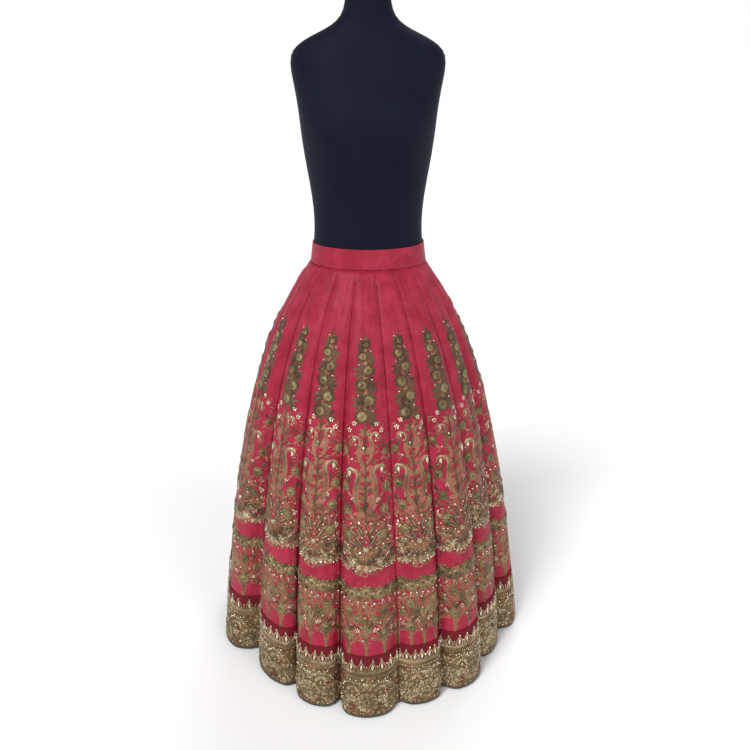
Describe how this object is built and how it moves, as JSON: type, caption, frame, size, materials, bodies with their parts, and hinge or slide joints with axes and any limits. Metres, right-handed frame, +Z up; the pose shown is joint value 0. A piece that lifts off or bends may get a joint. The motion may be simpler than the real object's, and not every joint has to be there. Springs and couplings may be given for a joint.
{
  "type": "lehenga skirt on a dress form",
  "caption": "Floor-length panelled lehenga skirt in crimson raw silk with gold zardozi and a deep worked border, on a limbless dress form with its stand.",
  "frame": {"origin": "on the floor, centre of the underside of the stand's base plate", "axes": "+Z up; the front of the skirt faces -Y; +X is to the right of someone who looks at the front"},
  "size_m": [0.8203, 0.814, 1.606],
  "materials": {
    "raw_silk": "satin",
    "gold_border": "satin",
    "piping": "matte",
    "form_cover": "matte",
    "stand_steel": "satin",
    "pole_chrome": "polished"
  },
  "bodies": {
    "root": {"waistband": "raw_silk", "kali_01": "raw_silk", "kali_02": "raw_silk", "kali_03": "raw_silk", "kali_04": "raw_silk", "kali_05": "raw_silk", "kali_06": "raw_silk", "kali_07": "raw_silk", "kali_08": "raw_silk", "kali_09": "raw_silk", "kali_10": "raw_silk", "kali_11": "raw_silk", "kali_12": "raw_silk", "kali_13": "raw_silk", "kali_14": "raw_silk", "kali_15": "raw_silk", "kali_16": "raw_silk", "border_01": "gold_border", "border_02": "gold_border", "border_03": "gold_border", "border_04": "gold_border", "border_05": "gold_border", "border_06": "gold_border", "border_07": "gold_border", "border_08": "gold_border", "border_09": "gold_border", "border_10": "gold_border", "border_11": "gold_border", "border_12": "gold_border", "border_13": "gold_border", "border_14": "gold_border", "border_15": "gold_border", "border_16": "gold_border", "piping_01": "piping", "piping_02": "piping", "piping_03": "piping", "piping_04": "piping", "piping_05": "piping", "piping_06": "piping", "piping_07": "piping", "piping_08": "piping", "piping_09": "piping", "piping_10": "piping", "piping_11": "piping", "piping_12": "piping", "piping_13": "piping", "piping_14": "piping", "piping_15": "piping", "piping_16": "piping", "form_torso": "form_cover", "form_socket": "stand_steel", "pole": "pole_chrome", "base_collar": "stand_steel", "base_plate": "stand_steel"}
  },
  "joints": []
}
